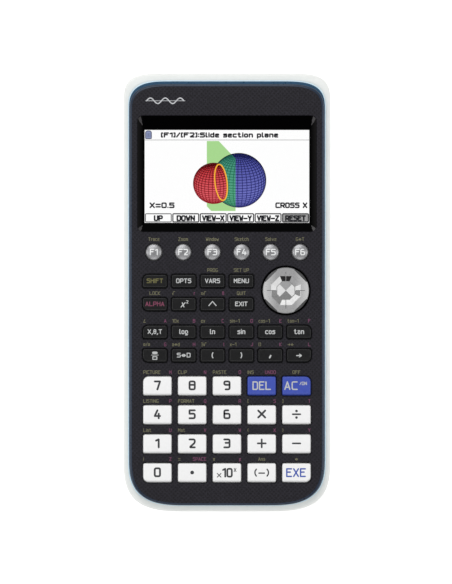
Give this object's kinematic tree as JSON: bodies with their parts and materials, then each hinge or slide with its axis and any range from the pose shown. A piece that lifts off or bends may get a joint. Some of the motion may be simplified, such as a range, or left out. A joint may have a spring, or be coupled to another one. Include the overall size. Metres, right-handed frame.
{
  "type": "graphing calculator",
  "caption": "Handheld graphing calculator with a wide colour display, soft keys, a rocking cursor pad and a full keyboard in a white and black case.",
  "frame": {"origin": "middle of the outline, on the surface that the four feet stand on", "axes": "+X to the right of the display, +Y towards the display end, +Z out of the keys"},
  "size_m": [0.089, 0.1886, 0.0186],
  "materials": {
    "face_black": "fine textured moulded plastic, glossy around the display",
    "shell_white": "smooth satin moulded plastic",
    "trim_blue": "metallic blue plated trim",
    "key_black": "polished moulded plastic",
    "key_white": "satin moulded plastic",
    "key_blue": "satin moulded plastic",
    "key_silver": "bright plated plastic",
    "clear_window": "clear polished window",
    "panel_glass": "colour display panel, lit",
    "board_green": "solder resist over copper tracks",
    "rubber_grey": "moulded silicone rubber",
    "cell_jacket": "printed jacket over a steel can"
  },
  "bodies": {
    "case": {"rear_case": "shell_white", "front_case": "face_black", "trim_ring": "trim_blue", "display_window": "clear_window", "lcd_module": "panel_glass", "circuit_board": "board_green", "rubber_keypad": "rubber_grey", "battery_1": "cell_jacket", "battery_2": "cell_jacket", "battery_3": "cell_jacket", "battery_4": "cell_jacket"},
    "battery_cover": {"battery_cover": "shell_white"},
    "cursor_pivot": {"cursor_pivot": "rubber_grey"},
    "cursor_pad": {"cursor_pad": "key_silver"},
    "key_f1": {"key_f1": "key_silver"},
    "key_f2": {"key_f2": "key_silver"},
    "key_f3": {"key_f3": "key_silver"},
    "key_f4": {"key_f4": "key_silver"},
    "key_f5": {"key_f5": "key_silver"},
    "key_f6": {"key_f6": "key_silver"},
    "key_shift": {"key_shift": "key_black"},
    "key_options": {"key_options": "key_black"},
    "key_variables": {"key_variables": "key_black"},
    "key_menu": {"key_menu": "key_black"},
    "key_alpha": {"key_alpha": "key_black"},
    "key_square": {"key_square": "key_black"},
    "key_power": {"key_power": "key_black"},
    "key_exit": {"key_exit": "key_black"},
    "key_x_variable": {"key_x_variable": "key_black"},
    "key_log": {"key_log": "key_black"},
    "key_ln": {"key_ln": "key_black"},
    "key_sin": {"key_sin": "key_black"},
    "key_cos": {"key_cos": "key_black"},
    "key_tan": {"key_tan": "key_black"},
    "key_fraction": {"key_fraction": "key_black"},
    "key_convert": {"key_convert": "key_black"},
    "key_open_bracket": {"key_open_bracket": "key_black"},
    "key_close_bracket": {"key_close_bracket": "key_black"},
    "key_comma": {"key_comma": "key_black"},
    "key_store": {"key_store": "key_black"},
    "key_7": {"key_7": "key_white"},
    "key_8": {"key_8": "key_white"},
    "key_9": {"key_9": "key_white"},
    "key_delete": {"key_delete": "key_blue"},
    "key_clear": {"key_clear": "key_blue"},
    "key_4": {"key_4": "key_white"},
    "key_5": {"key_5": "key_white"},
    "key_6": {"key_6": "key_white"},
    "key_multiply": {"key_multiply": "key_white"},
    "key_divide": {"key_divide": "key_white"},
    "key_1": {"key_1": "key_white"},
    "key_2": {"key_2": "key_white"},
    "key_3": {"key_3": "key_white"},
    "key_add": {"key_add": "key_white"},
    "key_subtract": {"key_subtract": "key_white"},
    "key_0": {"key_0": "key_white"},
    "key_point": {"key_point": "key_white"},
    "key_exponent": {"key_exponent": "key_white"},
    "key_negative": {"key_negative": "key_white"},
    "key_execute": {"key_execute": "key_white"}
  },
  "joints": [
    {"name": "battery_cover_hinge", "type": "hinge", "parent": "case", "child": "battery_cover", "pos_m": [0, 0.0777, 0.0005], "axis": [1, 0, 0], "range_deg": [0, 40]},
    {"name": "cursor_up_down", "type": "hinge", "parent": "case", "child": "cursor_pivot", "pos_m": [0.0253, 0.0009, 0.0134], "axis": [1, 0, 0], "range_deg": [-3.5, 3.5], "stiffness_Nm_per_rad": 0.26},
    {"name": "cursor_left_right", "type": "hinge", "parent": "cursor_pivot", "child": "cursor_pad", "pos_m": [0.0253, 0.0009, 0.0134], "axis": [0, 1, 0], "range_deg": [-3.5, 3.5], "stiffness_Nm_per_rad": 0.26},
    {"name": "press_f1", "type": "slide", "parent": "case", "child": "key_f1", "axis": [0, 0, -1], "range_m": [0, 0.001], "stiffness_N_per_m": 1200},
    {"name": "press_f2", "type": "slide", "parent": "case", "child": "key_f2", "axis": [0, 0, -1], "range_m": [0, 0.001], "stiffness_N_per_m": 1200},
    {"name": "press_f3", "type": "slide", "parent": "case", "child": "key_f3", "axis": [0, 0, -1], "range_m": [0, 0.001], "stiffness_N_per_m": 1200},
    {"name": "press_f4", "type": "slide", "parent": "case", "child": "key_f4", "axis": [0, 0, -1], "range_m": [0, 0.001], "stiffness_N_per_m": 1200},
    {"name": "press_f5", "type": "slide", "parent": "case", "child": "key_f5", "axis": [0, 0, -1], "range_m": [0, 0.001], "stiffness_N_per_m": 1200},
    {"name": "press_f6", "type": "slide", "parent": "case", "child": "key_f6", "axis": [0, 0, -1], "range_m": [0, 0.001], "stiffness_N_per_m": 1200},
    {"name": "press_shift", "type": "slide", "parent": "case", "child": "key_shift", "axis": [0, 0, -1], "range_m": [0, 0.001], "stiffness_N_per_m": 1200},
    {"name": "press_options", "type": "slide", "parent": "case", "child": "key_options", "axis": [0, 0, -1], "range_m": [0, 0.001], "stiffness_N_per_m": 1200},
    {"name": "press_variables", "type": "slide", "parent": "case", "child": "key_variables", "axis": [0, 0, -1], "range_m": [0, 0.001], "stiffness_N_per_m": 1200},
    {"name": "press_menu", "type": "slide", "parent": "case", "child": "key_menu", "axis": [0, 0, -1], "range_m": [0, 0.001], "stiffness_N_per_m": 1200},
    {"name": "press_alpha", "type": "slide", "parent": "case", "child": "key_alpha", "axis": [0, 0, -1], "range_m": [0, 0.001], "stiffness_N_per_m": 1200},
    {"name": "press_square", "type": "slide", "parent": "case", "child": "key_square", "axis": [0, 0, -1], "range_m": [0, 0.001], "stiffness_N_per_m": 1200},
    {"name": "press_power", "type": "slide", "parent": "case", "child": "key_power", "axis": [0, 0, -1], "range_m": [0, 0.001], "stiffness_N_per_m": 1200},
    {"name": "press_exit", "type": "slide", "parent": "case", "child": "key_exit", "axis": [0, 0, -1], "range_m": [0, 0.001], "stiffness_N_per_m": 1200},
    {"name": "press_x_variable", "type": "slide", "parent": "case", "child": "key_x_variable", "axis": [0, 0, -1], "range_m": [0, 0.001], "stiffness_N_per_m": 1200},
    {"name": "press_log", "type": "slide", "parent": "case", "child": "key_log", "axis": [0, 0, -1], "range_m": [0, 0.001], "stiffness_N_per_m": 1200},
    {"name": "press_ln", "type": "slide", "parent": "case", "child": "key_ln", "axis": [0, 0, -1], "range_m": [0, 0.001], "stiffness_N_per_m": 1200},
    {"name": "press_sin", "type": "slide", "parent": "case", "child": "key_sin", "axis": [0, 0, -1], "range_m": [0, 0.001], "stiffness_N_per_m": 1200},
    {"name": "press_cos", "type": "slide", "parent": "case", "child": "key_cos", "axis": [0, 0, -1], "range_m": [0, 0.001], "stiffness_N_per_m": 1200},
    {"name": "press_tan", "type": "slide", "parent": "case", "child": "key_tan", "axis": [0, 0, -1], "range_m": [0, 0.001], "stiffness_N_per_m": 1200},
    {"name": "press_fraction", "type": "slide", "parent": "case", "child": "key_fraction", "axis": [0, 0, -1], "range_m": [0, 0.001], "stiffness_N_per_m": 1200},
    {"name": "press_convert", "type": "slide", "parent": "case", "child": "key_convert", "axis": [0, 0, -1], "range_m": [0, 0.001], "stiffness_N_per_m": 1200},
    {"name": "press_open_bracket", "type": "slide", "parent": "case", "child": "key_open_bracket", "axis": [0, 0, -1], "range_m": [0, 0.001], "stiffness_N_per_m": 1200},
    {"name": "press_close_bracket", "type": "slide", "parent": "case", "child": "key_close_bracket", "axis": [0, 0, -1], "range_m": [0, 0.001], "stiffness_N_per_m": 1200},
    {"name": "press_comma", "type": "slide", "parent": "case", "child": "key_comma", "axis": [0, 0, -1], "range_m": [0, 0.001], "stiffness_N_per_m": 1200},
    {"name": "press_store", "type": "slide", "parent": "case", "child": "key_store", "axis": [0, 0, -1], "range_m": [0, 0.001], "stiffness_N_per_m": 1200},
    {"name": "press_7", "type": "slide", "parent": "case", "child": "key_7", "axis": [0, 0, -1], "range_m": [0, 0.001], "stiffness_N_per_m": 1200},
    {"name": "press_8", "type": "slide", "parent": "case", "child": "key_8", "axis": [0, 0, -1], "range_m": [0, 0.001], "stiffness_N_per_m": 1200},
    {"name": "press_9", "type": "slide", "parent": "case", "child": "key_9", "axis": [0, 0, -1], "range_m": [0, 0.001], "stiffness_N_per_m": 1200},
    {"name": "press_delete", "type": "slide", "parent": "case", "child": "key_delete", "axis": [0, 0, -1], "range_m": [0, 0.001], "stiffness_N_per_m": 1200},
    {"name": "press_clear", "type": "slide", "parent": "case", "child": "key_clear", "axis": [0, 0, -1], "range_m": [0, 0.001], "stiffness_N_per_m": 1200},
    {"name": "press_4", "type": "slide", "parent": "case", "child": "key_4", "axis": [0, 0, -1], "range_m": [0, 0.001], "stiffness_N_per_m": 1200},
    {"name": "press_5", "type": "slide", "parent": "case", "child": "key_5", "axis": [0, 0, -1], "range_m": [0, 0.001], "stiffness_N_per_m": 1200},
    {"name": "press_6", "type": "slide", "parent": "case", "child": "key_6", "axis": [0, 0, -1], "range_m": [0, 0.001], "stiffness_N_per_m": 1200},
    {"name": "press_multiply", "type": "slide", "parent": "case", "child": "key_multiply", "axis": [0, 0, -1], "range_m": [0, 0.001], "stiffness_N_per_m": 1200},
    {"name": "press_divide", "type": "slide", "parent": "case", "child": "key_divide", "axis": [0, 0, -1], "range_m": [0, 0.001], "stiffness_N_per_m": 1200},
    {"name": "press_1", "type": "slide", "parent": "case", "child": "key_1", "axis": [0, 0, -1], "range_m": [0, 0.001], "stiffness_N_per_m": 1200},
    {"name": "press_2", "type": "slide", "parent": "case", "child": "key_2", "axis": [0, 0, -1], "range_m": [0, 0.001], "stiffness_N_per_m": 1200},
    {"name": "press_3", "type": "slide", "parent": "case", "child": "key_3", "axis": [0, 0, -1], "range_m": [0, 0.001], "stiffness_N_per_m": 1200},
    {"name": "press_add", "type": "slide", "parent": "case", "child": "key_add", "axis": [0, 0, -1], "range_m": [0, 0.001], "stiffness_N_per_m": 1200},
    {"name": "press_subtract", "type": "slide", "parent": "case", "child": "key_subtract", "axis": [0, 0, -1], "range_m": [0, 0.001], "stiffness_N_per_m": 1200},
    {"name": "press_0", "type": "slide", "parent": "case", "child": "key_0", "axis": [0, 0, -1], "range_m": [0, 0.001], "stiffness_N_per_m": 1200},
    {"name": "press_point", "type": "slide", "parent": "case", "child": "key_point", "axis": [0, 0, -1], "range_m": [0, 0.001], "stiffness_N_per_m": 1200},
    {"name": "press_exponent", "type": "slide", "parent": "case", "child": "key_exponent", "axis": [0, 0, -1], "range_m": [0, 0.001], "stiffness_N_per_m": 1200},
    {"name": "press_negative", "type": "slide", "parent": "case", "child": "key_negative", "axis": [0, 0, -1], "range_m": [0, 0.001], "stiffness_N_per_m": 1200},
    {"name": "press_execute", "type": "slide", "parent": "case", "child": "key_execute", "axis": [0, 0, -1], "range_m": [0, 0.001], "stiffness_N_per_m": 1200}
  ]
}
